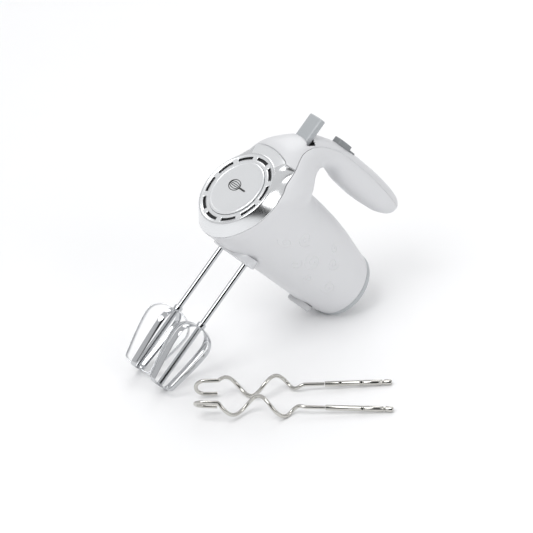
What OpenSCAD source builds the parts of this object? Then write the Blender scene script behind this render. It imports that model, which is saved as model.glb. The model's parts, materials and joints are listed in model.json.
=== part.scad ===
// Hand mixer with two wire beaters, and the two dough hooks that lie beside it.
// Every mixer module is drawn upright in the mixer's own frame: X forward to the badge, Y to the left,
// Z up, beaters pointing down, with zero on the flat underside midway between the drive spindles.
// rest() then tips the mixer nose-up on to its heel and beater tips, with the floor at Z = 0.

/* [Stance] */
// Nose-up angle of the mixer at rest, degrees
pitch = 50.1; // [49.9:0.1:50.3]
// Place of the mixer's zero point along the floor, so that the whole set is centred
stand_x = 35.1; // [0:0.1:60]
// Place of the mixer's middle plane across the floor, so that the whole set is centred
stand_y = -74.8; // [-100:0.1:0]

/* [Body] */
// Greatest radius of the motor barrel
barrel_r = 46.5; // [44:0.5:48]
// Radius of the barrel where the rear cap meets it
heel_r = 34.7; // [33:0.1:36]
// Thickness of the rear cap
cap_t = 6.5; // [5:0.5:8]
// Wall of the moulded shells
wall = 2.4; // [2:0.2:3]
// Half the width of the handle
grip_half = 16.8; // [15:0.2:18]
// Height of the handle's top over the underside
grip_top = 146; // [144:0.5:148]

/* [Front] */
// Distance of the badge's centre in front of the spindles
badge_x = 45.8; // [45:0.2:47]
// Height of the badge's centre over the underside
badge_z = 52.6; // [51:0.2:54]
// Backward lean of the badge, degrees
badge_tilt = 10.4; // [9:0.2:12]
// Radius of the round front face
face_r = 42; // [40:0.5:43]
// Radius of the silver rim where it meets the white housing
rim_r = 47; // [46:0.5:48]
// Depth of the silver rim
rim_d = 12; // [10:0.5:13]
// Radius of the raised disc in the middle
disc_r = 30.5; // [29:0.5:32]
// Number of air slots round the disc
air_slots = 10; // [8:1:12]

/* [Drive] */
// Distance between the two drive spindles
spindle_gap = 42.6; // [42:0.1:43]
// Radius of the beater and hook shanks
shank_r = 2.75; // [2.5:0.05:3]
// Running clearance of each shaft in its bore, on the radius
running = 0.05; // [0.03:0.01:0.08]
// Height of the motor shaft over the underside
motor_z = 46; // [45:0.5:48]
// Travel of the eject lever
eject_travel = 7; // [5:0.5:8]

/* [Beaters] */
// Greatest radius of the beater head
head_r = 24.3; // [23:0.1:25]
// Height of the point where the wires leave the shaft
head_top = -75; // [-78:0.5:-72]
// Height of the bottom of the beater head
head_foot = -144; // [-146:0.5:-142]
// Width of the flat wire
strip_w = 6; // [5:0.5:7]
// Thickness of the flat wire
strip_t = 1.1; // [0.9:0.1:1.4]
// Turn of the left beater's wires about its shaft, degrees
left_turn = 13; // [0:1:40]

/* [Hooks] */
// Radius of the hook wire
wire_r = 1.85; // [1.6:0.05:2.2]
// Radius of the hook's spiral
spiral_r = 9.2; // [8:0.1:10]
// Advance of the spiral in one turn
spiral_pitch = 48; // [44:1:52]
// Length of the thick shank
hook_shank = 64; // [60:1:68]

/* [Controls] */
// Width of the speed lever
lever_w = 20.4; // [18:0.2:22]
// Thickness of the speed lever, front to back
lever_t = 7.5; // [6:0.5:9]
// Height of the speed lever's top
lever_top = 153.5; // [152:0.5:156]
// Sideways travel of the speed lever each way
lever_swing = 6; // [4:0.5:6]

/* [Hidden] */
$fn = 48;
slab = 0.4;
relief = 0.4;
ears_end = 38;
spindle_y = spindle_gap / 2;
heel_x = -131.5;
heel_z = 37.9;
cap_end = heel_x - cap_t;
right_turn = 45 - left_turn;
screw_x = [-11, 11];
screw_y = 13.7;
wheel_teeth = 36;
worm_lead = 2 * PI * 14.9 / wheel_teeth;
// Centre of the round front end of the gap under the handle, round which neck and handle turn
gap_c = [-30, 103];

// Height of the floor in the mixer's frame once pitched: the lowest corner of the beaters' wires
function lift_of(p, turn) =
  p[1] * cos(pitch) - (p[0] * cos(turn) + strip_w / 2 * sin(turn)) * sin(pitch);
floor_z = min([for (p = head_line(24), turn = [left_turn, right_turn]) lift_of(p, turn)]);

// ---------- curves ----------
function bezier(a, b, c, d, t) =
  a * pow(1 - t, 3) + b * 3 * t * pow(1 - t, 2) + c * 3 * t * t * (1 - t) + d * pow(t, 3);
// Outside of a beater head from the shaft down to its foot: radius, height
function head_line(n) = concat(
  [for (i = [0:n]) bezier([shank_r - 0.6, head_top], [16, head_top - 1], [head_r, head_top - 8],
    [head_r, head_top - 17.5], i / n)],
  [for (i = [1:n]) bezier([head_r, head_top - 17.5], [head_r, head_top - 30], [17.6, head_foot + 14],
    [15.9, head_foot + 6], i / n)],
  [for (i = [1:n]) bezier([15.9, head_foot + 6], [14.9, head_foot + 1.6], [12, head_foot],
    [8, head_foot], i / n)],
  [[0, head_foot]]);
function signed_pow(v, p) = sign(v) * pow(abs(v), p);
// Superellipse with its own fullness on the inner and the outer side
function oval(a, b, n_in, n_out, steps = 36) = [for (i = [0:steps - 1])
  let (t = i * 360 / steps, n = cos(t) > 0 ? n_out : n_in)
  [a * signed_pow(cos(t), 2 / n), b * signed_pow(sin(t), 2 / n)]];
function polar(r, angle) = gap_c + r * [cos(angle), sin(angle)];
function smooth(t) = let (c = min(max(t, 0), 1)) c * c * (3 - 2 * c);

// ---------- outer form ----------
// Each station is [inner x, inner z, outer x, outer z, half width, inner fullness, outer fullness].
// The barrel's stations run from the heel forward, the neck's turn round gap_c, the grip's run back.
function upright(x, z_in, z_out, half, n) = [x, z_in, x, z_out, half, n, n];
function fan(angle, r_in, r_out, half, n_out) =
  [polar(r_in, angle)[0], polar(r_in, angle)[1], polar(r_out, angle)[0], polar(r_out, angle)[1], half, 2.2, n_out];
STATIONS = [
  upright(heel_x, heel_z + heel_r, heel_z - heel_r, heel_r, 2),
  upright(-120, 75.5, 1.5, 37.6, 2),
  upright(-90, 83, 0, 42.5, 2.05),
  upright(-60, 88, 0, 45.4, 2.1),
  upright(-30, 90.5, 0, barrel_r, 2.1),
  fan(-75, 12.7, 106.6, barrel_r, 2.1),
  fan(-62, 13, 116.6, barrel_r, 2.1),
  fan(-50, 13.3, 128.6, barrel_r, 2),
  fan(-34, 13.8, 116, barrel_r, 2),
  fan(-20, 15, 76.5, 39, 3),
  fan(-8, 16, 70.4, 35.5, 2.8),
  fan(4, 16.5, 66.5, 31.5, 2.6),
  fan(17.6, 16.5, 59.5, 27, 2.5),
  fan(27, 16.5, 55, 23.5, 2.4),
  fan(38, 16.3, 50.6, 20.5, 2.4),
  fan(50, 16, 46.9, 18.6, 2.4),
  fan(68, 15.8, 43, 17.4, 2.4),
  upright(-30, 118.5, grip_top - 1, grip_half, 2.4),
  upright(-50, 114, grip_top, grip_half, 2.4),
  upright(-80, 112, grip_top - 0.8, grip_half, 2.4),
  upright(-108, 113.5, grip_top - 3.6, grip_half, 2.4),
  upright(-122, 117, grip_top - 6.5, 14.6, 2.3),
  upright(-130, 121.5, grip_top - 9.5, 10.2, 2.2),
  upright(-133.4, 126, grip_top - 13.5, 4.5, 2)
];
module station(s, inset) {
  run = [s[2] - s[0], s[3] - s[1]];
  half = norm(run) / 2;
  translate([(s[0] + s[2]) / 2, 0, (s[1] + s[3]) / 2])
    rotate([0, -atan2(run[1], run[0]), 0])
      linear_extrude(slab, center = true)
        polygon(oval(half - inset, s[4] - inset, s[5], s[6]));
}
module form(inset = 0, first = 0, last = len(STATIONS) - 1)
  for (i = [first:last - 1])
    hull() {
      station(STATIONS[i], inset);
      station(STATIONS[i + 1], inset);
    }
// Places children on the badge's axis, with their Z along it and zero on the front face
module on_badge() translate([badge_x, 0, badge_z]) rotate([0, 90 - badge_tilt, 0]) children();
// Where the silver rim's rear edge stands at a height z
function seam_x(z) = badge_x - rim_d / cos(badge_tilt) - (z - badge_z) * tan(badge_tilt);
// Side-view region in front of the seam between the white housing and the silver and grey shells
module seam_zone(shift = 0) rotate([90, 0, 0]) linear_extrude(130, center = true)
  offset(delta = -shift) polygon([
    [seam_x(-10), -10], [seam_x(62), 62], [30, 76], [28.6, 92], [27.4, 100], [24.6, 112], [19, 120], [11, 127], [2.6, 132],
    [-9, 136], [-19, 138.3], [-35, 139.5], [-65, 139], [-95, 136], [-117, 132.4], [-150, 130],
    [-150, 180], [90, 180], [90, -10]]);
// The rim's cone carried a little past the seam, which then cuts it
module rim_cone() on_badge() translate([0, 0, -rim_d - 3])
  cylinder(rim_d + 3, rim_r + 3 * (rim_r - face_r) / rim_d, face_r, $fn = 72);
plate_line = [for (i = [0:47]) [15 * cos(i * 7.5), 31 * sin(i * 7.5)]];
module lever_slot() translate([lever_x() - lever_t / 2 - 0.6, -17, 100]) cube([lever_t + 1.2, 34, 60]);
function lever_x() = 13.75;
module button_slot() translate([-47.7, -6.6, 135]) cube([26.4, 13.2, 30]);

// ---------- casing ----------
module main_housing() color("whitesmoke") difference() {
  union() {
    form();
    hull() {
      station(STATIONS[4], 0);
      on_badge() translate([0, 0, 0.6 - rim_d]) cylinder(slab, r = rim_r, $fn = 72);
    }
  }
  form(wall);
  hull() {
    station(STATIONS[4], wall);
    on_badge() translate([0, 0, 1.2 - rim_d]) cylinder(slab, r = rim_r - wall, $fn = 72);
  }
  seam_zone();
  lever_slot();
  translate([heel_x - 10, -60, -10]) cube([10, 120, 100]);
  translate([heel_x - 1, 0, heel_z]) rotate([0, 90, 0]) cylinder(3, r = heel_r - wall);
  translate([0, 0, -5]) linear_extrude(20) polygon([for (p = plate_line) p * 1.004]);
  translate([-105, 0, -8]) cylinder(14, r = 12.9);
}
module top_shell() color("gainsboro") difference() {
  intersection() {
    form(0, 9);
    seam_zone(0.1);
  }
  form(wall, 8);
  translate([-200, -80, -50]) cube([400, 160, 150]);
  lever_slot();
  button_slot();
}
module front_bezel() color("silver") difference() {
  intersection() {
    union() {
      rim_cone();
      intersection() {
        form(0, 8, 12);
        translate([0, -60, 66]) cube([80, 120, 33.8]);
      }
    }
    seam_zone(0.1);
  }
  intersection() {
    form(wall, 8, 12);
    translate([-5, -60, 60]) cube([80, 120, 45]);
    on_badge() translate([0, 0, -103]) cylinder(100, r = 120);
  }
  on_badge() translate([0, 0, -rim_d - 30]) cylinder(rim_d + 27, r = rim_r - wall - 3, $fn = 72);
  on_badge() cylinder(20, r = face_r - 0.4, $fn = 72);
  on_badge() translate([0, 0, -5]) cylinder(10, r = disc_r + 0.3, $fn = 72);
  on_badge() for (i = [0:air_slots - 1]) rotate(i * 360 / air_slots) rotate([0, 0, -13])
    rotate_extrude(angle = 26) translate([34.4, -5]) square([3.4, 10]);
}
module badge_disc() color("lightgray") on_badge() translate([0, 0, -2.95]) difference() {
  cylinder(4.15, r = disc_r);
  translate([0, 0, 3.35]) cylinder(2, r = disc_r - 3.2);
}
module vent_backing() color("dimgray") on_badge() translate([0, 0, -5]) difference() {
  cylinder(2, r = 39);
  translate([0, 0, -1]) cylinder(4, r = disc_r - 8);
}
module rear_cap() color("darkgray") difference() {
  translate([heel_x, 0, heel_z]) rotate([0, -90, 0]) rotate_extrude($fn = 96) polygon([
    [0, cap_t - 2.4], [12, cap_t - 2.4], [12.5, cap_t], [heel_r - 2.6, cap_t], [heel_r - 0.9, cap_t - 0.7],
    [heel_r - 0.1, cap_t - 2.4], [heel_r - 0.1, 0], [heel_r - 3, 0], [heel_r - 3, cap_t - 2.9],
    [14.5, cap_t - 2.9], [14, cap_t - 4.8], [0, cap_t - 4.8]]);
  rotate([0, pitch, 0]) translate([-200, -60, floor_z - 20]) cube([400, 120, 20]);
  translate([heel_x - 20, 0, heel_z]) rotate([0, 90, 0]) cylinder(40, r = 7);
  for (i = [0:7]) translate([heel_x - 20, 0, heel_z]) rotate([0, 90, 0]) rotate(i * 45 + 14)
    rotate_extrude(angle = 17) translate([19, 0]) square([7, 40]);
}
module beater_plate() color("azure") difference() {
  translate([0, 0, -0.5]) linear_extrude(13.5) polygon(plate_line);
  for (side = [-1, 1], x = screw_x) translate([x, side * screw_y, 9.9]) cylinder(10, r = 1.6);
  for (side = [-1, 1]) translate([0, side * spindle_y, -2]) cylinder(20, r = 5.2);
}
module rest_foot() color("silver") translate([-105, 0, 0]) rotate_extrude() polygon([
  [0, -4.2], [8.5, -4.2], [9, -4.8], [10.8, -4.8], [12.2, -4.1], [12.8, -2.8], [12.8, 3.6], [9.5, 3.6], [9.5, -2], [0, -2]]);
module cord_gland() color("dimgray") translate([cap_end + 2.4, 0, heel_z]) rotate([0, 90, 0]) difference() {
  union() {
    cylinder(14, r = 6.9);
    translate([0, 0, 3]) cylinder(3, r = 9.5);
  }
  translate([0, 0, -1]) cylinder(20, r = 3.6);
}
// Screws that hold the beater plate to the gear frame
module case_screws() color("silver") for (side = [-1, 1], x = screw_x)
  translate([x, side * screw_y, 16]) {
    cylinder(2, r = 3);
    translate([0, 0, -6]) cylinder(6, r = 1.6);
  }

// ---------- gears and motor ----------
module gear_frame() color("darkgray") difference() {
  union() {
    translate([-16, -27, 13]) cube([32, 54, 3]);
    translate([-14, -29, 62]) cube([28, 58, 4]);
    translate([-35, -26, 13]) cube([3, 52, 53]);
    translate([-33, -26, 13]) cube([18, 52, 3]);
    translate([-33, -26, 62]) cube([20, 52, 4]);
    for (side = [-1, 1]) translate([12, side * 8 - 2, 14]) cube([2, 4, 50]);
    translate([12, -10, 40]) cube([4, 20, 12]);
  }
  for (side = [-1, 1], z = [8, 58]) translate([0, side * spindle_y, z]) cylinder(12, r = 7);
  translate([-40, 0, motor_z]) rotate([0, 90, 0]) cylinder(10, r = 7);
  translate([10, 0, motor_z]) rotate([0, 90, 0]) cylinder(10, r = 4);
  for (side = [-1, 1], x = screw_x) translate([x, side * screw_y, 8]) cylinder(10, r = 1.6);
  for (side = [-1, 1]) translate([-40, side * 21, motor_z]) rotate([0, 90, 0]) cylinder(10, r = 2);
}
module spindle_bushes() color("goldenrod") for (side = [-1, 1], z = [[13, 3], [62, 4]])
  translate([0, side * spindle_y, z[0]]) difference() {
    cylinder(z[1], r = 7);
    translate([0, 0, -1]) cylinder(10, r = 4.5 + running);
  }
module shaft_bushes() color("goldenrod") {
  for (b = [[-35, 3, 7], [12, 4, 4], [-113, 3, 7]])
    translate([b[0], 0, motor_z]) rotate([0, 90, 0]) difference() {
      cylinder(b[1], r = b[2]);
      translate([0, 0, -1]) cylinder(10, r = 2.5 + running);
    }
}
module motor_bracket() color("darkgray") difference() {
  union() {
    translate([-113, 0, motor_z]) rotate([0, 90, 0]) cylinder(3, r = 12);
    translate([-113, -25, motor_z - 5]) cube([3, 50, 10]);
  }
  translate([-120, 0, motor_z]) rotate([0, 90, 0]) cylinder(20, r = 7);
  for (side = [-1, 1]) translate([-120, side * 21, motor_z]) rotate([0, 90, 0]) cylinder(20, r = 2);
}
module frame_bolts() color("silver") for (side = [-1, 1]) translate([-113, side * 21, motor_z]) rotate([0, 90, 0]) {
  cylinder(81, r = 2);
  translate([0, 0, -3]) cylinder(3, r = 3.6);
}
module stator() color("gray") translate([-98, 0, motor_z]) rotate([0, 90, 0]) difference() {
  intersection() {
    cylinder(36, r = 29);
    translate([-24, -29, -1]) cube([48, 58, 40]);
  }
  translate([0, 0, -1]) cylinder(40, r = 15.6);
  for (side = [-1, 1]) translate([0, side * 21, -1]) cylinder(40, r = 2);
}
module field_coils() color("peru") for (end = [-101.5, -61.9], side = [-1, 1])
  translate([end, 0, motor_z + side * 19.6]) translate([0, -14, -3.4]) cube([3.4, 28, 6.8]);
module brush_holders() color("goldenrod") for (side = [-1, 1])
  translate([-107, side * 9 - (side > 0 ? 0 : 7), motor_z - 3]) difference() {
    cube([7, 7, 6]);
    translate([1.5, -1, 1.5]) cube([4, 9, 3]);
  }
module carbon_brushes() color("dimgray") for (side = [-1, 1])
  translate([-105.5, side * 11.35 - 3.35, motor_z - 1.5]) cube([4, 6.7, 3]);
module motor_shaft() color("silver") translate([-115, 0, motor_z]) rotate([0, 90, 0]) {
  cylinder(132, r = 2.5);
  translate([0, 0, 105]) rotate_extrude() polygon(concat([[0, 0]],
    [for (i = [0:6]) each [[4.6, i * worm_lead], [6.2, i * worm_lead + 0.8], [6.2, i * worm_lead + 1.3],
      [4.6, i * worm_lead + 2.1]]], [[0, 6 * worm_lead + 2.1]]));
}
module armature_core() color("gray") translate([-97, 0, motor_z]) rotate([0, 90, 0]) difference() {
  cylinder(34, r = 15);
  translate([0, 0, -1]) cylinder(40, r = 2.5);
  for (i = [0:11]) rotate(i * 30) translate([11, -1, -1]) cube([3, 2, 40]);
}
module commutator() color("peru") translate([-108, 0, motor_z]) rotate([0, 90, 0]) difference() {
  cylinder(9, r = 7.9);
  translate([0, 0, -1]) cylinder(12, r = 2.5);
}
module cooling_fan() color("white") translate([-54, 0, motor_z]) rotate([0, 90, 0]) difference() {
  union() {
    cylinder(10, r = 5);
    cylinder(1.5, r = 17.5);
    for (i = [0:8]) rotate(i * 40) translate([4, -0.6, 0.5]) cube([13.4, 1.2, 8]);
  }
  translate([0, 0, -1]) cylinder(12, r = 2.5);
}
module spindle(side) color("silver") translate([0, side * spindle_y, 2]) difference() {
  cylinder(66, r = 4.5);
  translate([0, 0, -1]) cylinder(70, r = shank_r + running);
}
module worm_wheel(side) color("ivory") translate([0, side * spindle_y, motor_z - 4]) difference() {
  cylinder(8, r = 14.6);
  translate([0, 0, -1]) cylinder(10, r = 4.5);
  for (i = [0:wheel_teeth - 1]) rotate(i * 360 / wheel_teeth) translate([13.6, -0.45, -1]) cube([2, 0.9, 10]);
}
module left_spindle() spindle(1);
module right_spindle() spindle(-1);
module left_worm_wheel() worm_wheel(1);
module right_worm_wheel() worm_wheel(-1);

// ---------- ejector and controls ----------
module ejector_yoke() color("ivory") {
  difference() {
    union() {
      translate([-5, -26, 77]) cube([10, 52, 4]);
      translate([-5, -7, 81]) cube([20, 14, 4]);
      translate([8.5, -7, 84]) cube([6.5, 14, 27]);
      translate([8.5, -14, 108]) cube([10.5, 28, 3]);
    }
  }
}
module ejector_pin(side) color("silver") translate([0, side * spindle_y, 50]) cylinder(27, r = shank_r);
module left_ejector_pin() ejector_pin(1);
module right_ejector_pin() ejector_pin(-1);
module lever_blank(low, high, side_cut)
  translate([lever_x() - lever_t / 2, -lever_w / 2 + side_cut, low]) cube([lever_t, lever_w - 2 * side_cut, high - low]);
module speed_lever() color("lightslategray") {
  translate([lever_x(), 0, 111]) linear_extrude(lever_top - 1 - 111) offset(r = 2.4, $fn = 24)
    square([lever_t - 4.8, lever_w - 4.8], center = true);
  translate([lever_x(), 0, lever_top - 1]) linear_extrude(1) offset(r = 1.6, $fn = 24)
    square([lever_t - 4.8, lever_w - 4.8], center = true);
}
module turbo_button() color("slategray") {
  translate([-39.5, -6, 136.5]) cube([17.6, 12, 14]);
  translate([-47.1, -6, 141]) cube([8, 12, 5.8]);
}
module speed_switch() color("dimgray") {
  translate([-7, -9, 88]) cube([10, 18, 20]);
  translate([-9.4, -11, 86]) cube([2.4, 22, 26]);
}
module turbo_switch() color("dimgray") {
  translate([-38, -5, 124]) cube([14, 10, 7]);
  translate([-52, -7, 122]) cube([36, 14, 2]);
}
// Wire carried along a line of points, with each ring square to the line
function ring_at(p, r, i, n, sides) =
  let (d = (p[min(i + 1, n - 1)] - p[max(i - 1, 0)]), w = d / norm(d),
    side = abs(w[1]) > 0.9 ? [1, 0, 0] : [0, 1, 0],
    u = cross(w, side) / norm(cross(w, side)), v = cross(w, u))
  [for (k = [0:sides - 1]) p[i] + r * (cos(k * 360 / sides) * u + sin(k * 360 / sides) * v)];
module wire(p, r, sides = 8) {
  n = len(p);
  polyhedron(
    [for (i = [0:n - 1]) each ring_at(p, r, i, n, sides)],
    concat([[for (k = [0:sides - 1]) sides - 1 - k]],
      [for (i = [0:n - 2], k = [0:sides - 1])
        [i * sides + k, i * sides + (k + 1) % sides, (i + 1) * sides + (k + 1) % sides, (i + 1) * sides + k]],
      [[for (k = [0:sides - 1]) (n - 1) * sides + k]]));
}
function coil(x, z, high, r, turns) = [for (i = [0:turns * 12])
  [x + r * cos(i * 30), r * sin(i * 30), z + high * i / (turns * 12)]];
module ejector_spring() color("silver") wire(coil(11.5, 66.5, 14, 3.2, 5), 0.4, 4);
module turbo_spring() color("silver") wire(coil(-31, 131.4, 4.7, 2.4, 3), 0.3, 4);

// ---------- beaters ----------
module beater_shaft(side) color("silver") translate([0, side * spindle_y, 0]) difference() {
  translate([0, 0, head_foot + strip_t]) cylinder(49.7 - head_foot - strip_t, r = shank_r);
  translate([0, 0, 40]) rotate_extrude() translate([2.15, 0]) square([2, 2.2]);
}
module wire_loop() rotate([90, 0, 0]) linear_extrude(strip_w, center = true) {
  outer = head_line(9);
  inner = [for (p = outer) let (z = min(max(p[1], head_foot + strip_t), head_top - 2.4))
    [max(p[0] - strip_t, 0), z]];
  for (s = [0, 1]) mirror([s, 0]) difference() {
    polygon(concat([[0, head_top]], outer));
    polygon(concat([[0, head_top - 2.4]], [for (p = inner) if (p[0] > 0.4) p], [[0, head_foot + strip_t]]));
  }
}
module beater_wires(side, turn) color("silver") translate([0, side * spindle_y, 0]) rotate(turn)
  difference() {
    union() {
      wire_loop();
      rotate(90) wire_loop();
      translate([0, 0, head_top - 2]) cylinder(6, r = 4.4);
    }
    translate([0, 0, head_foot + strip_t]) cylinder(200, r = shank_r);
  }
module left_beater_shaft() beater_shaft(1);
module right_beater_shaft() beater_shaft(-1);
module left_beater_wires() beater_wires(1, left_turn);
module right_beater_wires() beater_wires(-1, right_turn);

// ---------- dough hooks: drawn along X, shank towards +X, wire towards -X ----------
lead_in = 18;
spiral_end = 100;
tail = 113;
loop_r = spiral_r;
function spiral(s, hand, start) = let (reach = spiral_r * smooth((s - lead_in) / 19),
  a = start + hand * (s - lead_in) * 360 / spiral_pitch) [-s, reach * cos(a), reach * sin(a)];
function hook_line(hand, start) = let (a = start + hand * (spiral_end - lead_in) * 360 / spiral_pitch)
  concat([[0.5, 0, 0], [-8, 0, 0]],
    [for (i = [0:34]) spiral(lead_in + (spiral_end - lead_in) * i / 34, hand, start)],
    [for (i = [0:12]) let (t = i * 15) [-tail - loop_r * sin(t), loop_r * cos(t) * cos(a), loop_r * cos(t) * sin(a)]],
    [[-spiral_end - 2, -loop_r * cos(a), -loop_r * sin(a)]]);
module hook_wire(hand, start) color("silver") wire(hook_line(hand, start), wire_r);
module hook_shank(ears) color("silver") difference() {
  union() {
    rotate([0, 90, 0]) cylinder(hook_shank - 1, r = shank_r - relief);
    translate([ears_end, 0, 0]) rotate([0, 90, 0]) cylinder(hook_shank - 1 - ears_end, r = shank_r);
    translate([hook_shank - 1, 0, 0]) rotate([0, 90, 0]) cylinder(1, shank_r, shank_r - 0.8);
    for (x = ears) translate([x, 0, 0]) cylinder(9, r = 2, center = true);
  }
  translate([hook_shank - 9.5, 0, 0]) rotate([0, 90, 0]) rotate_extrude() translate([2.05, 0]) square([2, 2.4]);
  translate([-1, 0, 0]) rotate([0, 90, 0]) cylinder(1.5, r = wire_r);
}
// Lays a hook on the floor: the thick shank's end and the spiral's underside both touch it
// place holds: distance from the mixer along and across the floor, height, heading, tilt
module lay(place) translate([stand_x + place[0], stand_y + place[1], place[2]])
  rotate(place[3]) rotate([0, place[4], 0]) children();
first_place = [-14, 120.7, 6.55, 147, 3.45];
second_place = [9.1, 156.7, 7.87, 143, 4.6];
module first_hook_shank() lay(first_place) rotate([50, 0, 0]) hook_shank([15, 35]);
module first_hook_wire() lay(first_place) hook_wire(1, 210);
module second_hook_shank() lay(second_place) rotate([60, 0, 0]) hook_shank([35]);
module second_hook_wire() lay(second_place) hook_wire(-1, 30);

// ---------- assembly ----------
module rest() translate([stand_x, stand_y, -floor_z]) rotate([0, -pitch, 0]) children();

rest() main_housing();
rest() top_shell();
rest() front_bezel();
rest() badge_disc();
rest() vent_backing();
rest() rear_cap();
rest() beater_plate();
rest() rest_foot();
rest() cord_gland();
rest() gear_frame();
rest() spindle_bushes();
rest() motor_bracket();
rest() stator();
rest() field_coils();
rest() shaft_bushes();
rest() brush_holders();
rest() carbon_brushes();
rest() frame_bolts();
rest() speed_switch();
rest() turbo_switch();
rest() case_screws();
rest() motor_shaft();
rest() armature_core();
rest() commutator();
rest() cooling_fan();
rest() left_spindle();
rest() right_spindle();
rest() left_worm_wheel();
rest() right_worm_wheel();
rest() ejector_yoke();
rest() ejector_spring();
rest() left_ejector_pin();
rest() right_ejector_pin();
rest() speed_lever();
rest() turbo_button();
rest() turbo_spring();
rest() left_beater_shaft();
rest() left_beater_wires();
rest() right_beater_shaft();
rest() right_beater_wires();
first_hook_shank();
first_hook_wire();
second_hook_shank();
second_hook_wire();
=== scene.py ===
"""Looks of a hand mixer with wire beaters and two loose dough hooks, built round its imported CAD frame.

Most shapes are worked out in the mixer's own frame, in millimetres: forward, to its left side, and up.
placed() carries them to the row frame in metres.
"""

import json

import bmesh
import bpy
import numpy as np
from mathutils import Matrix, Vector


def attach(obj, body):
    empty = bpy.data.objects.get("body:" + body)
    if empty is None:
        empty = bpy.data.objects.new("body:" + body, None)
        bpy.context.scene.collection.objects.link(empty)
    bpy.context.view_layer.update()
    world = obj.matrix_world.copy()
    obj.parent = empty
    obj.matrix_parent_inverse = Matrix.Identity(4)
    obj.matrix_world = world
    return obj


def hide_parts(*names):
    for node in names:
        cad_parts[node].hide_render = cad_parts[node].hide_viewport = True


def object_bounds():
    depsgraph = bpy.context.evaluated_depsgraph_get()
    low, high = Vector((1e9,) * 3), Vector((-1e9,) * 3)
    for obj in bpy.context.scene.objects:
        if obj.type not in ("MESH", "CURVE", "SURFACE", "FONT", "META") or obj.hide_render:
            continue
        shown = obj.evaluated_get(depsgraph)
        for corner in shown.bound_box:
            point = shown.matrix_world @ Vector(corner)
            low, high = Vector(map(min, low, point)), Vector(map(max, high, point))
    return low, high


bl_info = {
    "name": "Hand mixer looks",
    "version": (1, 0, 0),
    "blender": (4, 5, 0),
    "location": "View3D > Sidebar > Mixer",
    "description": "Builds the visible surfaces of a hand mixer round its CAD frame",
    "category": "Object",
}

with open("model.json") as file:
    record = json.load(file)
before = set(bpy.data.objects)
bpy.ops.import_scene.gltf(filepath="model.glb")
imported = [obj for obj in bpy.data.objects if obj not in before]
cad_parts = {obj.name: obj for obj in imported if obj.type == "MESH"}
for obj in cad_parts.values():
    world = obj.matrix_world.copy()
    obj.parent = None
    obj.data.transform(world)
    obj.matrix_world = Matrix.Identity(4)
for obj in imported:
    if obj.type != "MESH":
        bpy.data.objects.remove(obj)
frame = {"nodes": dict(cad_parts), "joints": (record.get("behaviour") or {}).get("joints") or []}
CAD_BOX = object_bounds()

MM = 0.001
TURN = 2 * np.pi
JOINTS = {joint["name"]: joint for joint in frame["joints"]}
SPINDLES = [np.array(JOINTS[f"{side}_spindle_spin"]["pos_m"]) for side in ("left", "right")]
ORIGIN = (SPINDLES[0] + SPINDLES[1]) / 2
SPINDLE_Y = np.linalg.norm(SPINDLES[0] - SPINDLES[1]) / 2 / MM
AXES = np.array([JOINTS["armature_spin"]["axis"], [0, 1, 0], JOINTS["left_spindle_spin"]["axis"]], float)

# Where the camera stands: the picture's right, up and towards-camera directions in the row frame
SIGHT = np.array([[-0.837, 0.538, -0.097], [-0.346, -0.383, 0.857], [0.424, 0.751, 0.507]])


# ---------- numbers of the shape ----------
# One casing ring per row: place along the body, inner and outer distance from the gap's centre line,
# half width, and how square the inner and outer halves are. The place runs along the barrel in mm to
# GAP_F, then one per degree round the gap's end, then in mm back along the handle.
GAP_F, GAP_U = -30, 103
RINGS = np.array([
    (-131.5, 30.4, 99.8, 34.7, 2, 2), (-120, 27.5, 101.5, 37.6, 2, 2), (-90, 20, 103, 42.5, 2.05, 2.05),
    (-60, 15, 103, 45.4, 2.1, 2.1), (-30, 12.5, 103, 46.5, 2.1, 2.1), (-15, 12.7, 106.6, 46.5, 2.2, 2.1),
    (-2, 13, 116.6, 46.5, 2.2, 2.1), (10, 13.3, 128.6, 46.5, 2.2, 2), (26, 13.8, 114, 46.3, 2.2, 2),
    (40, 15, 76.5, 41, 2.2, 3.1), (52, 16, 70.4, 38, 2.2, 3.1), (64, 16.5, 66.5, 33, 2.2, 2.8),
    (77.6, 16.5, 59.5, 27, 2.2, 2.5), (87, 16.5, 55, 23.5, 2.2, 2.4), (98, 16.3, 50.6, 20.5, 2.2, 2.4),
    (110, 16, 46.9, 18.6, 2.2, 2.4), (128, 15.8, 43, 17.4, 2.2, 2.4), (150, 15.5, 42, 16.8, 2.3, 2.4),
    (170, 11, 43, 16.8, 2.4, 2.4), (200, 9, 42.2, 16.8, 2.4, 2.4), (228, 10.5, 39.4, 16.6, 2.4, 2.4),
    (242, 14, 36.5, 14.9, 2.3, 2.3), (254, 17.6, 34, 12, 2.2, 2.2)])
HANDLE_FROM, HANDLE_ROUND, HANDLE_END = 150, 238, 253.4
# Place along the body and distance from the gap's centre line of the seam between the shells
SEAM = np.array([
    (26.5, 74.3), (35.8, 65.8), (49.4, 59.6), (57, 57.5), (69.4, 55.3), (79.1, 51.9), (90.3, 47.5),
    (101.7, 43.6), (117.5, 39.1), (132.7, 37), (150, 36.2), (155, 36.5), (185, 36), (215, 33),
    (237, 29.4), (250, 27), (254, 26)])
# Place along the body where the front piece ends at the seam, and how much further it reaches on top
SPLIT_SIDE, SPLIT_RISE = 54.8, 5.2
# The round front: its backward lean, the middle of its face, the rim's depth and radius, the face's radius
TILT = np.radians(10.4)
FACE = np.array([45.8, 0, 52.6])
RIM_DEPTH, RIM_R, FACE_R = 12, 47, 42
# The middle of the rim's rear edge
NOSE_U = FACE[2] - RIM_DEPTH * np.sin(TILT)
NOSE_F = FACE[0] - RIM_DEPTH * np.cos(TILT)
# Air slots in the face: how many, and the degrees that each spans
SLOTS, SLOT_SPAN = 10, 26
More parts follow.
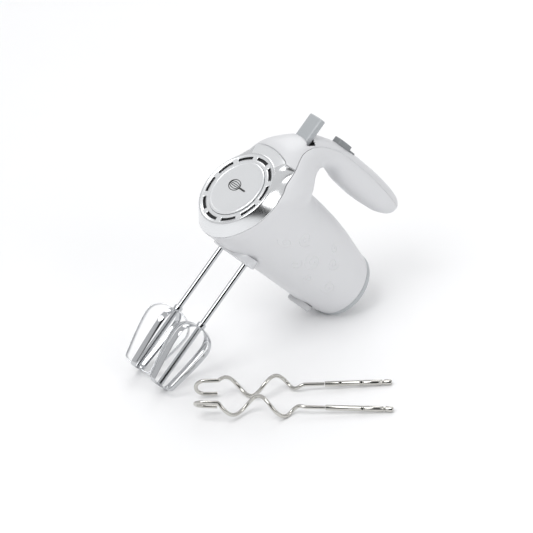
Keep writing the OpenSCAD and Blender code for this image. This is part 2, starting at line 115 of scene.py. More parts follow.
# Degrees each side of the top over which the front piece has the hood's satin finish
HOOD_REACH = 29
# The barrel's half height, which is also the height of its middle, and its half width
BARREL_U, BARREL_SIDE = 45.25, 46.5
HEEL_F, HEEL_U = -131.5, 37.9
LEVER_F = 13.75
# Height of the beaters' feet and thickness of their flat wire
FOOT_U, STRIP_T = -144, 1.1
# Radius of the dough hooks' wire and of its spiral, and the spiral's advance in one turn
WIRE_R, SPIRAL_R, SPIRAL_PITCH = 1.85, 9.2, 48

# ---------- numbers of the stage ----------
# What the camera aims at, to the right of ORIGIN and above it in the picture, and how far off it stands
AIM_RIGHT, AIM_UP, DISTANCE = 30.8, -12.1, 3.0
# Each lamp's name, place by the picture's right, up and towards the camera in metres, size and power
LAMPS = [("Key", (-1.0, 1.2, 1.7), 1.5, 22.0), ("Fill", (1.5, 0.3, 1.8), 1.2, 9.0),
         ("Top", (0.2, 1.9, -0.6), 1.4, 9.0)]
# Brightness of the room, and the direction of its dark part, which only reflections see
SKY_LIGHT = 0.62
DARK_TOWARDS = np.array([0.183, -0.13, 0.974])


# ---------- curves and grids ----------
def placed(points):
    """Points of the mixer's own frame, in mm, as points of the row frame, in metres."""
    return ORIGIN + (np.asarray(points, float) * MM) @ AXES


def smooth(t):
    """Rises from 0 to 1 as t does, level at both ends: three t squared less two t cubed."""
    t = np.clip(t, 0, 1)
    return t * t * (3 - 2 * t)


def through(table, x):
    """Every column of a table at x: cubic pieces through its rows, with slopes that never overshoot."""
    knots, values = table[:, 0], table[:, 1:]
    step = np.diff(knots)[:, None]
    slope = np.diff(values, axis=0) / step
    same = slope[:-1] * slope[1:] > 0
    weight = 2 * slope[:-1] * slope[1:] / np.where(same, slope[:-1] + slope[1:], 1)
    tangent = np.vstack([slope[:1], np.where(same, weight, 0), slope[-1:]])
    x = np.clip(x, knots[0], knots[-1])
    i = np.clip(np.searchsorted(knots, x, side="right") - 1, 0, len(knots) - 2)
    h = step[i, 0][..., None]
    t = (x - knots[i])[..., None] / h
    return (values[i] * (2 * t**3 - 3 * t**2 + 1) + tangent[i] * h * (t**3 - 2 * t**2 + t)
            + values[i + 1] * (3 * t**2 - 2 * t**3) + tangent[i + 1] * h * (t**3 - t**2))


def bezier(corners, count):
    """A cubic curve's points from its four control points, without the last."""
    t = np.linspace(0, 1, count, endpoint=False)[:, None]
    a, b, c, d = np.asarray(corners, float)
    return a * (1 - t)**3 + 3 * b * t * (1 - t)**2 + 3 * c * t**2 * (1 - t) + d * t**3


def face_point(radius, angle, depth=0):
    """A point round the badge's axis: radius out, angle from the top towards the left side, depth forward."""
    out, ahead = radius * np.cos(angle), depth
    return np.stack(np.broadcast_arrays(
        FACE[0] - out * np.sin(TILT) + ahead * np.cos(TILT), radius * np.sin(angle),
        FACE[2] + out * np.cos(TILT) + ahead * np.sin(TILT)), -1)


def nose(f, l, u):
    """Below 0 inside the barrel's front, whose oval sections lean over to the round rim."""
    reach = NOSE_F - GAP_F
    t = (f - GAP_F) / reach
    for _ in range(3):
        t = (f + (u - NOSE_U) * np.tan(TILT * np.clip(t, 0, 1)) - GAP_F) / reach
    t = np.clip(t, 0, 1)
    middle, high = BARREL_U + t * (NOSE_U - BARREL_U), BARREL_U + t * (RIM_R - BARREL_U)
    half, full = BARREL_SIDE + t / 2, 2.1 - t / 10
    v = (u - middle) / np.cos(TILT * t)
    return (np.abs(l) / half)**full + (np.abs(v) / high)**full - 1


def ring_frame(q):
    """A ring's base point along the body, and its outward direction as forward and up parts."""
    angle = np.radians(np.clip(q - 60, -90, 90))
    base = np.where(q < GAP_F, q, GAP_F) - np.clip(q - HANDLE_FROM, 0, None)
    return base, np.cos(angle), np.sin(angle)


def casing(q, phi):
    """The casing's surface at place q along the body and angle phi round the ring, 0 outermost.

    Each ring is an oval whose two halves have their own squareness. Towards the front it is joined
    to nose() by the larger distance of the two, rounded where they meet.
    """
    q, phi = np.broadcast_arrays(np.asarray(q, float), phi)
    r_in, r_out, half, n_in, n_out = np.moveaxis(through(RINGS, q), -1, 0)
    middle, high = (r_in + r_out) / 2, (r_out - r_in) / 2
    end = np.sqrt(np.clip(1 - np.clip((q - HANDLE_ROUND) / (HANDLE_END - HANDLE_ROUND), 0, 1)**2.2, 0, 1))
    high, half = high * end + 1e-4, half * end + 1e-4
    x, y = np.cos(phi), np.sin(phi)
    full = n_in + (n_out - n_in) * smooth((x + 0.3) / 0.6)
    radius = ((np.abs(y) / half)**full + (np.abs(x) / high)**full)**(-1 / full)
    base, ahead, above = ring_frame(q)

    def at(r):
        return base + (middle + r * x) * ahead, r * y, GAP_U + (middle + r * x) * above

    used = (q > GAP_F) & (q < 40)
    low, top = np.zeros_like(radius), np.full_like(radius, 150.0)
    for _ in range(24 if used.any() else 0):
        guess = (low + top) / 2
        inside = nose(*at(guess)) < 0
        low, top = np.where(inside, guess, low), np.where(inside, top, guess)
    other = low - 12 * smooth((q - 26.5) / 12)
    blend = 3 * smooth((q - GAP_F) / 20) + 1e-6
    h = np.clip(0.5 + (other - radius) / (2 * blend), 0, 1)
    joined = radius + (other - radius) * h + blend * h * (1 - h)
    return np.stack(at(np.where(used, joined, radius)), -1)


def past_seam(q, points):
    """Above 0 where a casing point is outside the seam: ahead of the rim, or above the shell's line."""
    plane = points[..., 0] - NOSE_F + (points[..., 2] - NOSE_U) * np.tan(TILT)
    base, ahead, above = ring_frame(q)
    r = (points[..., 0] - base) * ahead + (points[..., 2] - GAP_U) * above
    return np.where(q < SEAM[0, 0], plane, r - through(SEAM, q)[..., 0])


def seam_angle(q):
    """The angle round each ring where it meets the seam, or 0 on rings that have none."""
    q = np.asarray(q, float)
    low, top = np.zeros_like(q), np.full_like(q, 2.9)
    for _ in range(24):
        guess = (low + top) / 2
        out = past_seam(q, casing(q, guess)) > 0
        low, top = np.where(out, guess, low), np.where(out, top, guess)
    return np.where((past_seam(q, casing(q, 0.0)) > 0) & (q > -20), low, 0)


def seam_start():
    """The first place along the body whose ring reaches the rim."""
    q = np.linspace(-10, 20, 600)
    return q[np.argmax(seam_angle(q) > 0)]


def split_place(v):
    """Where the front piece ends and the top shell starts, across the hood from -1 to 1."""
    return SPLIT_SIDE + SPLIT_RISE * np.sqrt(np.clip(1 - (v / 0.75)**2, 0, 1))


# ---------- meshes ----------
def cells(rows, columns, wrap_rows=False, wrap_columns=False):
    """The corner numbers of every cell in a grid of points, which may close on itself either way."""
    i = np.arange(rows if wrap_rows else rows - 1)[:, None]
    j = np.arange(columns if wrap_columns else columns - 1)[None]
    i2, j2 = (i + 1) % rows, (j + 1) % columns
    return np.stack(np.broadcast_arrays(
        i * columns + j, i2 * columns + j, i2 * columns + j2, i * columns + j2), -1)


def build(name, sheets, body, materials, nodes=(), thickness=0.0):
    """One piece from several grids of points, each (grid, wrap rows, wrap columns, material, kept faces).

    Every grid cell is one face. A grid is turned so that its faces look away from the middle of
    their own row, and points that meet are welded. Thickness, in mm, is added inwards.
    """
    coordinates, faces, slots, start = [], [], [], 0
    for grid, wrap_rows, wrap_columns, material, kept in sheets:
        rows, columns = grid.shape[:2]
        quads = cells(rows, columns, wrap_rows, wrap_columns)
        corners = grid.reshape(-1, 3)[quads]
        normal = np.cross(corners[..., 2, :] - corners[..., 0, :], corners[..., 3, :] - corners[..., 1, :])
        away = corners.mean(2) - grid.mean(1)[:len(quads), None]
        if (normal * away).sum() < 0:
            quads = quads[..., ::-1]
        kept = np.ones(quads.shape[:2], bool) if kept is None else kept
        coordinates.append(grid.reshape(-1, 3))
        faces.append(quads[kept] + start)
        slots.append(np.broadcast_to(material, kept.shape)[kept])
        start += rows * columns
    mesh = bpy.data.meshes.new(name)
    mesh.from_pydata(np.concatenate(coordinates), [], np.concatenate(faces))
    for material in materials:
        mesh.materials.append(material)
    mesh.polygons.foreach_set("material_index", np.concatenate(slots).astype(np.int32))
    work = bmesh.new()
    work.from_mesh(mesh)
    bmesh.ops.remove_doubles(work, verts=work.verts, dist=8e-6)
    bmesh.ops.dissolve_degenerate(work, edges=work.edges, dist=2e-6)
    work.to_mesh(mesh)
    work.free()
    mesh.shade_smooth()
    mesh.set_sharp_from_angle(angle=np.radians(38))
    piece = bpy.data.objects.new(name, mesh)
    bpy.context.scene.collection.objects.link(piece)
    if thickness:
        solid = piece.modifiers.new("Wall", "SOLIDIFY")
        solid.thickness, solid.offset = thickness * MM, -1
    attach(piece, body)
    if nodes:
        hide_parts(*nodes)
    return piece


def lathe(profile, centre, axis, columns=96):
    """A closed-round grid: each (radius, distance along the axis) of the profile turned about the axis."""
    axis = np.asarray(axis, float) / np.linalg.norm(axis)
    across = np.cross(axis, [0, 1, 0] if abs(axis[1]) < 0.9 else [1, 0, 0])
    across /= np.linalg.norm(across)
    other = np.cross(axis, across)
    angle = np.linspace(0, TURN, columns, endpoint=False)[None, :, None]
    radius, along = (np.asarray(profile, float)[:, k][:, None, None] for k in (0, 1))
    spoke = np.cos(angle) * across + np.sin(angle) * other
    return np.asarray(centre, float) + along * axis + radius * spoke


def tube(path, radius, sides=14, closed=False):
    """A round bar along a path: circles square to the path, their zero turned as little as possible.

    Both ends of an open path are drawn in to a point.
    """
    path = np.asarray(path, float)
    ahead = np.roll(path, -1, 0) - np.roll(path, 1, 0)
    if not closed:
        ahead[0], ahead[-1] = path[1] - path[0], path[-1] - path[-2]
    ahead /= np.linalg.norm(ahead, axis=1)[:, None]
    start = np.cross(ahead[0], [0.3, 0.2, 0.9])
    across = [start / np.linalg.norm(start)]
    for step in ahead[1:]:
        kept = across[-1] - step * (across[-1] @ step)
        across.append(kept / np.linalg.norm(kept))
    across = np.array(across)
    other = np.cross(ahead, across)
    angle = np.linspace(0, TURN, sides, endpoint=False)[None, :, None]
    radius = np.broadcast_to(radius, len(path))[:, None, None]
    grid = path[:, None] + radius * (np.cos(angle) * across[:, None] + np.sin(angle) * other[:, None])
    if closed:
        return grid
    ends = [np.repeat(path[k][None, None], sides, 1) for k in (0, -1)]
    return np.concatenate([ends[0], grid, ends[1]])


def loft(levels, sides=64):
    """A closed block: one oval per level (centre f, l, u, half f, half l, squareness), from bottom to top."""
    angle = np.linspace(0, TURN, sides, endpoint=False)[None]
    f, l, u, half_f, half_l, full = (np.asarray(levels, float)[:, k][:, None] for k in range(6))
    c, s = np.cos(angle), np.sin(angle)
    x = np.sign(c) * np.abs(c)**(2 / full) * half_f
    y = np.sign(s) * np.abs(s)**(2 / full) * half_l
    return np.stack([f + x, l + y, u + 0 * x], -1)


def rounded_block(f, l, low, high, half_f, half_l, full, edge, crown=0.0):
    """Levels for loft(): straight sides, rounded top edges of radius edge, and a crown on top."""
    levels = [(f, l, low, 0.01, 0.01, 2), (f, l, low, half_f, half_l, full)]
    for t in np.linspace(0, np.pi / 2, 7):
        inset = edge * (1 - np.cos(t))
        levels.append((f, l, high - edge + edge * np.sin(t), half_f - inset, half_l - inset, full))
    for k in (0.8, 0.5, 0.2, 0.0):
        rise = crown * (1 - k * k)
        levels.append((f, l, high + rise, (half_f - edge) * k + 0.01, (half_l - edge) * k + 0.01, full))
    return levels


# ---------- shader effects ----------
def group(name, outputs, inputs):
    """An empty shader group with these output and input sockets: (name, kind, default)."""
    tree = bpy.data.node_groups.new(name, "ShaderNodeTree")
    for label, kind in outputs:
        tree.interface.new_socket(label, in_out="OUTPUT", socket_type=kind)
    for label, kind, default in inputs:
        tree.interface.new_socket(label, in_out="INPUT", socket_type=kind).default_value = default
    return tree, tree.nodes.new("NodeGroupInput"), tree.nodes.new("NodeGroupOutput")


def node(tree, kind, **settings):
    """A node with its settings and, by socket name or number after in_, its input values."""
    made = tree.nodes.new(kind)
    for key, value in settings.items():
        if key.startswith("in_"):
            made.inputs[int(key[3:]) if key[3:].isdigit() else key[3:]].default_value = value
        else:
            setattr(made, key, value)
    return made


def grain_group():
    """Fine moulded or brushed grain: a mask of uneven tone and a normal, from object coordinates."""
    tree, given, out = group(
        "Fine grain", [("Tone", "NodeSocketFloat"), ("Normal", "NodeSocketVector")],
        [("Scale", "NodeSocketFloat", 900.0), ("Depth", "NodeSocketFloat", 0.1),
         ("Stretch", "NodeSocketVector", (1, 1, 1))])
    place = node(tree, "ShaderNodeTexCoord")
    stretch = node(tree, "ShaderNodeVectorMath", operation="MULTIPLY")
    fine = node(tree, "ShaderNodeTexNoise", in_Detail=3.0)
    broad = node(tree, "ShaderNodeTexNoise", in_Scale=22.0, in_Detail=2.0)
    bump = node(tree, "ShaderNodeBump", in_Distance=0.0002)
    link = tree.links.new
    link(place.outputs["Object"], stretch.inputs[0])
    link(given.outputs["Stretch"], stretch.inputs[1])
    link(stretch.outputs[0], fine.inputs["Vector"])
    link(given.outputs["Scale"], fine.inputs["Scale"])
    link(place.outputs["Object"], broad.inputs["Vector"])
    link(fine.outputs[0], bump.inputs["Height"])
    link(given.outputs["Depth"], bump.inputs["Strength"])
    link(broad.outputs[0], out.inputs["Tone"])
    link(bump.outputs["Normal"], out.inputs["Normal"])
    return tree


def wear_group():
    """Handling marks: a mask of soft smudges with finer breaks in them, from object coordinates."""
    tree, given, out = group(
        "Handling marks", [("Marks", "NodeSocketFloat")], [("Amount", "NodeSocketFloat", 0.3)])
    place = node(tree, "ShaderNodeTexCoord")
    cloud = node(tree, "ShaderNodeTexNoise", in_Scale=34.0, in_Detail=5.0, in_Roughness=0.62)
    ramp = node(tree, "ShaderNodeMapRange", in_1=0.42, in_2=0.75)
    scale = node(tree, "ShaderNodeMath", operation="MULTIPLY")
    link = tree.links.new
    link(place.outputs["Object"], cloud.inputs["Vector"])
    link(cloud.outputs[0], ramp.inputs["Value"])
    link(ramp.outputs[0], scale.inputs[0])
    link(given.outputs["Amount"], scale.inputs[1])
    link(scale.outputs[0], out.inputs["Marks"])
    return tree


def finish(name, colour, second=None, metallic=0.0, rough=0.4, rough_marks=0.1, scale=900.0, depth=0.08,
           stretch=(1, 1, 1), coat=0.0, through_light=0.0):
    """A procedural finish: two close tones by uneven mask, roughness from handling marks, and grain."""
    made = bpy.data.materials.new(name)
    made.use_nodes = True
    tree = made.node_tree
    tree.nodes.clear()
    surface = node(tree, "ShaderNodeBsdfPrincipled", in_Metallic=metallic, **{"in_Coat Weight": coat,
                   "in_Transmission Weight": through_light})
    grain = node(tree, "ShaderNodeGroup", node_tree=EFFECTS["grain"], in_Scale=scale, in_Depth=depth,
                 in_Stretch=stretch)
    marks = node(tree, "ShaderNodeGroup", node_tree=EFFECTS["wear"])
    tones = node(tree, "ShaderNodeMix", data_type="RGBA", in_6=(*colour, 1),
                 in_7=(*(second or tuple(c * 0.93 for c in colour)), 1))
    roughness = node(tree, "ShaderNodeMath", operation="MULTIPLY_ADD", in_1=rough_marks, in_2=rough)
    out = node(tree, "ShaderNodeOutputMaterial")
    link = tree.links.new
    link(grain.outputs["Tone"], tones.inputs["Factor"])
    link(tones.outputs[2], surface.inputs["Base Color"])
    link(marks.outputs["Marks"], roughness.inputs[0])
    link(roughness.outputs[0], surface.inputs["Roughness"])
    link(grain.outputs["Normal"], surface.inputs["Normal"])
    link(surface.outputs[0], out.inputs["Surface"])
    return made


EFFECTS = {}
FINISHES = {}


def finishes():
    """Makes every finish once, from the colours in the panel."""
    if FINISHES:
        return FINISHES
    EFFECTS.update(grain=grain_group(), wear=wear_group())
    tint = bpy.context.scene.mixer_colours
    shell, grey, metal = tuple(tint.shell), tuple(tint.grey), tuple(tint.metal)

    def darker(colour, share):
        return tuple(c * share for c in colour)

    FINISHES.update(
        shell=finish("Soft white shell", shell, darker(shell, 0.97), rough=0.42, scale=1500,
                     depth=0.05, coat=0.08),
        top=finish("Pale grey shell", darker(shell, 0.96), darker(shell, 0.93), rough=0.36, scale=1500,
                   depth=0.05, coat=0.1),
        rim=finish("Silver rim", metal, darker(metal, 0.95), metallic=1.0, rough=0.2, rough_marks=0.05,
                   scale=700, depth=0.01),
        front=finish("Satin silver front", darker(metal, 1.05), darker(metal, 1.0), metallic=0.75,
                     rough=0.34, scale=900, depth=0.02),
        face=finish("Silver face", darker(metal, 1.1), darker(metal, 1.04), metallic=0.85, rough=0.3,
                    scale=900, depth=0.02),
        badge=finish("Satin badge", darker(metal, 1.14), darker(metal, 1.08), metallic=0.9, rough=0.3,
                     scale=420, depth=0.03, stretch=(1, 14, 1)),
        dark=finish("Dark vent", (0.02, 0.021, 0.023), rough=0.6),
        mark=finish("Dark print", (0.012, 0.012, 0.013), rough=0.5),
        cap=finish("Grey end cap", darker(grey, 1.15), rough=0.4, scale=1300, depth=0.06),
        lever=finish("Grey lever", grey, darker(grey, 0.95), rough=0.3, scale=1200, depth=0.05,
                     coat=0.15),
        button=finish("Dark grey button", darker(grey, 0.6), darker(grey, 0.55), rough=0.35,
                      scale=1200, depth=0.05),
        foot=finish("Pale grey foot", darker(shell, 0.8), rough=0.45, scale=1400, depth=0.06),
        plate=finish("Milky clear plate", (0.9, 0.91, 0.93), rough=0.22, scale=500, depth=0.03,
                     coat=0.4, through_light=0.35),
        chrome=finish("Chrome", (0.6, 0.61, 0.625), (0.56, 0.57, 0.585), metallic=1.0, rough=0.05,
                      rough_marks=0.05, scale=600, depth=0.008),
        wire=finish("Nickel wire", (0.62, 0.61, 0.58), (0.56, 0.55, 0.52), metallic=1.0, rough=0.14,
                    rough_marks=0.08, scale=800, depth=0.02),
        cast=finish("Cast frame", (0.42, 0.43, 0.44), metallic=0.8, rough=0.55, scale=700, depth=0.3),
        bronze=finish("Oiled bronze", (0.5, 0.33, 0.14), metallic=1.0, rough=0.4, scale=1200, depth=0.15),
        laminations=finish("Stacked steel", (0.3, 0.3, 0.32), metallic=0.9, rough=0.45, scale=500,
                           depth=0.35, stretch=(12, 1, 1)),
        copper=finish("Copper winding", (0.62, 0.27, 0.1), metallic=1.0, rough=0.35, scale=900,
                      depth=0.4, stretch=(1, 6, 1)),
        carbon=finish("Carbon", (0.03, 0.03, 0.03), rough=0.7, scale=1800, depth=0.3),
        steel=finish("Turned steel", (0.58, 0.59, 0.6), metallic=1.0, rough=0.25, scale=900, depth=0.08),
        nylon=finish("Natural nylon", (0.78, 0.76, 0.68), rough=0.4, scale=1100, depth=0.1),
        black=finish("Black plastic", (0.03, 0.03, 0.032), rough=0.45, scale=1300, depth=0.12))
    return FINISHES


def body_sheet(grid, material=0, wrap_columns=False, kept=None, wrap_rows=False):
    """A grid of the mixer's own frame, ready for build()."""
    return placed(grid), wrap_rows, wrap_columns, material, kept


def paint(nodes, finish_name):
    """Gives CAD nodes that stay in view a finish, on the objects and not on their meshes."""
    for name in nodes:
        shown = frame["nodes"][name]
        for slot in shown.material_slots:
            slot.link = "OBJECT"
            slot.material = finishes()[finish_name]


def bored(piece, cutters):
    """Cuts round bars out of a piece: each (path in the mixer's frame, radius)."""
    for path, radius in cutters:
        mesh = bpy.data.meshes.new("Cutter")
        grid = placed(tube(path, radius, 40))
        mesh.from_pydata(grid.reshape(-1, 3), [], cells(*grid.shape[:2], False, True).reshape(-1, 4))
        work = bmesh.new()
        work.from_mesh(mesh)
        bmesh.ops.remove_doubles(work, verts=work.verts, dist=1e-6)
        bmesh.ops.recalc_face_normals(work, faces=work.faces)
        work.to_mesh(mesh)
        work.free()
        cutter = bpy.data.objects.new("Cutter", mesh)
        bpy.context.scene.collection.objects.link(cutter)
        cut = piece.modifiers.new("Bore", "BOOLEAN")
        cut.object, cut.operation, cut.solver = cutter, "DIFFERENCE", "EXACT"
        bpy.context.view_layer.update()
        cut_piece = piece.evaluated_get(bpy.context.evaluated_depsgraph_get())
        result = bpy.data.meshes.new_from_object(cut_piece)
        piece.modifiers.clear()
        piece.data = result
        bpy.data.objects.remove(cutter)
    return piece


# ---------- pieces ----------
def casing_rows():
    """Places of the casing's rings, closer together where the seam starts and at the handle's end."""
    start, t = seam_start(), np.linspace(0, 1, 34)
    return np.concatenate([
        np.linspace(HEEL_F, GAP_F, 70, endpoint=False), np.linspace(GAP_F, start, 30, endpoint=False),
        start + (26.5 - start) * t[:-1]**2, np.linspace(26.5, HANDLE_FROM, 100, endpoint=False),
        np.linspace(HANDLE_FROM, 243, 54, endpoint=False), HANDLE_END - (HANDLE_END - 243) * (1 - t)**2])


def make_casing(sizes):
    """The white casing, the pale shell along its top, and the raised scrolls on its left side."""
    rows = casing_rows()
    seam = seam_angle(rows)
    gap = sizes.seam_gap / MM / 2 / 40
    start = np.where(seam > 0, seam + gap, 0)[:, None]
    grid = casing(rows[:, None], start + (TURN - 2 * start) * np.linspace(0, 1, 121))
    build("housing_skin", [body_sheet(grid)], "housing", [finishes()["shell"]],
          ["main_housing"], sizes.wall / MM)

    v = np.linspace(-1, 1, 73)
    t = np.linspace(0, 1, 170)[:, None]
    t = 1 - (1 - t)**1.25
    first = split_place(v) + sizes.seam_gap / MM
    q = first + (HANDLE_END - 0.05 - first) * t
    grid = casing(q, (seam_angle(q) - gap) * v)
    middle = (grid[:-1, :-1] + grid[1:, 1:]) / 2
    # Holes for the lever and the button
    f, l, u = np.moveaxis(middle, -1, 0)
    lever = (np.abs(f - LEVER_F) < 4.4) & (np.abs(l) < 16.6) & (u > 110)
    button = (np.abs(f + 34.6) < 12.6) & (np.abs(l) < 6.4)
    build("top_skin", [body_sheet(grid, kept=~(lever | button))], "housing",
          [finishes()["top"]], ["top_shell"], sizes.wall / MM)

    # Place along the body, angle round it in degrees, size in mm, turns, first angle in degrees, hand
    scrolls = [
        (-22, 98, 9, 1.6, 200, 1), (-48, 82, 11, 1.7, 20, -1), (-72, 96, 8, 1.5, 160, 1),
        (-88, 70, 9, 1.6, 300, -1), (-34, 66, 7, 1.4, 90, 1), (-60, 62, 6, 1.3, 250, 1),
        (-8, 80, 7, 1.4, 330, -1), (-64, 112, 6, 1.3, 60, -1)]
    sheets = []
    for place, angle, size, turns, first, hand in scrolls:
        t = np.linspace(0, 1, 60)
        reach = size * (1 - 0.86 * t**0.8)
        turned = np.radians(first) + hand * turns * TURN * t
        q = place + reach * np.cos(turned)
        phi = np.radians(angle) + reach * np.sin(turned) / 46
        skin, lower = casing(q, phi), casing(q, phi + 0.02) - casing(q, phi - 0.02)
        along = casing(q + 0.5, phi) - casing(q - 0.5, phi)
        out = np.cross(lower, along)
        out /= np.linalg.norm(out, axis=1)[:, None]
        out *= np.sign(out[:, 1:2])
        thick = 0.75 * np.sin(np.pi * np.clip(t * 0.94 + 0.03, 0, 1))**0.4
        path = skin - out * (thick[:, None] - sizes.relief / MM)
        sheets.append(body_sheet(tube(path, thick, 8), wrap_columns=True))
    build("scroll_relief", sheets, "housing", [finishes()["shell"]])


def front_edge(gap):
    """The front piece's outer edge by angle round the badge's axis: along the seam, then over the hood."""
    q = seam_start() + (SPLIT_SIDE - seam_start()) * np.linspace(0, 1, 160)**2
    sides = casing(q, np.clip(seam_angle(q) - gap / 40, 0, None))
    v = np.linspace(1, 0, 60)
    q = split_place(v)
    points = np.concatenate([sides, casing(q, (seam_angle(q) - gap / 40) * v)])
    up = (points[:, 2] - FACE[2]) * np.cos(TILT) - (points[:, 0] - FACE[0]) * np.sin(TILT)
    angle = np.arctan2(points[:, 1], up)
    order = np.argsort(angle)
    return angle[order], points[order]


def make_front(sizes):
    """The silver front: slotted face, rim and hood front in one piece, the badge disc and its pictogram."""
    step = 1.5
    angle = np.radians(np.arange(-180, 180, step))
    known, points = front_edge(sizes.seam_gap / MM / 2)
    edge = np.stack([np.interp(np.abs(angle), known, points[:, k]) for k in range(3)], -1)
    edge[:, 1] *= np.sign(angle)
    profile = [(30.9, -3), (30.9, -0.9), (32.4, -0.7), (34.4, -0.7), (37.8, -0.7), (39.2, -0.6), (40, 0),
               (40.7, 0.3), (41.4, 0.2)]
    inner = [face_point(r, angle, d) for r, d in profile]
    lip = face_point(FACE_R, angle, -0.3)
    out = face_point(1, angle) - FACE
    s = np.linspace(0, 1, 16)[:, None, None]
    swell = 0.25 + 2.1 * smooth((75 - np.abs(np.degrees(angle))) / 40)[None, :, None]
    outer = lip + (edge - lip) * s + out * swell * np.sin(np.pi * s**0.8)
    grid = np.concatenate([inner, outer])
    rows = len(grid) - 1
    cell, spacing = np.degrees(angle) + step / 2, 360 / SLOTS
    from_slot = (cell + spacing / 2) % spacing - spacing / 2
    slot = (np.abs(from_slot) < SLOT_SPAN / 2)[None] & (np.arange(rows) == 3)[:, None]
    material = np.zeros((rows, len(angle)), int)
    material[len(profile):] = np.where(np.abs(cell) < HOOD_REACH, 1, 2)
    material[len(profile) - 3:len(profile)] = 2
    build("front_skin", [body_sheet(grid, material, True, ~slot)], "housing",
          [finishes()["face"], finishes()["front"], finishes()["rim"]], ["front_bezel"], 1.4)

    ahead = (np.cos(TILT), 0, np.sin(TILT))
    disc = [(0, 0.62), (10, 0.6), (20, 0.52), (27.4, 0.38), (27.8, 0.42), (28.1, 0.62), (28.6, 0.7),
            (29.5, 0.66), (30.1, 0.4), (30.5, -0.1), (30.5, -2.9)]
    build("badge_skin", [body_sheet(lathe(disc, FACE, ahead, 160), wrap_columns=True)], "housing",
          [finishes()["badge"]], ["badge_disc"])
    # A small whisk: three loops, and a bar for its handle
    lines = []
    t = np.linspace(0, TURN, 72, endpoint=False)
    for width in (0.6, 2.0, 3.4):
        x, y = 5 + 8 * np.cos(t), 1.7 * width * np.sin(t)
        lines.append((x, y, True))
    lines.append((np.linspace(-12, -3, 12), np.zeros(12), False))
    sheets = []
    for x, y, loop in lines:
        across, high = x - 0.5, y + 1.5
        path = face_point(np.hypot(across, high), np.arctan2(-across, high), 0.62)
        bar = tube(path, 0.4 if loop else 0.95, 8, loop)
        sheets.append(body_sheet(bar, wrap_columns=True, wrap_rows=loop))
    build("badge_pictogram", sheets, "housing", [finishes()["mark"]])
    paint(["vent_backing"], "dark")


def make_rear():
    """The grey end cap with its air slots, cut flat where it rests."""
    profile = [(10.2, 2), (10.5, 4), (12, 4.1), (12.5, 6.3), (13, 6.5), (19, 6.5), (26, 6.5), (31.6, 6.5),
               (32.8, 6.25), (33.8, 5.6), (34.4, 4.6), (34.6, 3.2), (34.6, 0.35), (33, 0.2)]
    columns = 240
    grid = lathe(profile, (HEEL_F, 0, HEEL_U), (-1, 0, 0), columns)
    # Eight slots, each 17 degrees wide, in the flat ring between the profile's sixth and seventh points
    rows = len(profile) - 1
    slot = ((np.arange(columns) * 360 / columns % 45) < 17)[None] & (np.arange(rows) == 5)[:, None]
    grid = placed(grid)
    grid[..., 2] = np.maximum(grid[..., 2], CAD_BOX[0][2])
    build("end_cap", [(grid, False, True, 0, ~slot)], "housing", [finishes()["cap"]],
          ["rear_cap"], 1.6)
    paint(["cord_gland"], "black")


def make_controls():
    """The tall speed lever and the stepped turbo button."""
    lever = rounded_block(LEVER_F, 0, 112, 153.1, 3.75, 10.2, 4.5, 1.4, 0.4)
    build("speed_knob", [body_sheet(loft(lever), wrap_columns=True)], "speed_lever",
          [finishes()["lever"]], ["speed_lever"])
    blocks = [rounded_block(-30.7, 0, 136.5, 150.2, 8.8, 6, 7, 0.9, 0.3),
              rounded_block(-43, 0, 141, 146.8, 4.1, 6, 7, 0.8)]
    build("turbo_key", [body_sheet(loft(block), wrap_columns=True) for block in blocks], "turbo_button",
          [finishes()["button"]], ["turbo_button"])


def make_underside():
    """The milky plate round the beater sockets and the round rest foot."""
    levels = [(0, 0, 7, 0.01, 0.01, 2), (0, 0, 7, 15, 31, 2), (0, 0, -0.6, 15.2, 31.4, 2),
              (0, 0, -1.4, 14.8, 31, 2), (0, 0, -2, 13.6, 29.6, 2), (0, 0, -2.3, 10, 24, 2),
              (0, 0, -2.4, 0.01, 0.01, 2)]
    plate = build("socket_plate", [body_sheet(loft(levels, 96), wrap_columns=True)], "housing",
                  [finishes()["plate"]], ["beater_plate"])
    socket_r = 5.2
    bored(plate, [([(0, side * SPINDLE_Y, u) for u in (-8, 0, 12)], socket_r) for side in (1, -1)])
    profile = [(0, -4.1), (8.2, -4.1), (8.8, -4.3), (9.3, -4.7), (10, -4.85), (10.9, -4.7), (11.8, -4.3),
               (12.4, -3.6), (12.8, -2.6), (12.8, 1.5)]
    pad = lathe(profile, (-105, 0, 0), (0, 0, 1), 96)
    build("rest_pad", [body_sheet(pad, wrap_columns=True)], "housing",
          [finishes()["foot"]], ["rest_foot"])


def beater_outline():
    """Radius and height along one half of a beater's loop, from the shaft to the middle of its foot."""
    arcs = [[(2.15, -75), (16, -76), (24.3, -83), (24.3, -92.5)],
            [(24.3, -92.5), (24.3, -105), (17.6, -130), (15.9, -138)],
            [(15.9, -138), (14.9, -142.4), (12, FOOT_U), (8, FOOT_U)],
            [(8, FOOT_U), (5, FOOT_U), (3, FOOT_U), (0, FOOT_U)]]
    return np.concatenate([bezier(arc, 26) for arc in arcs])


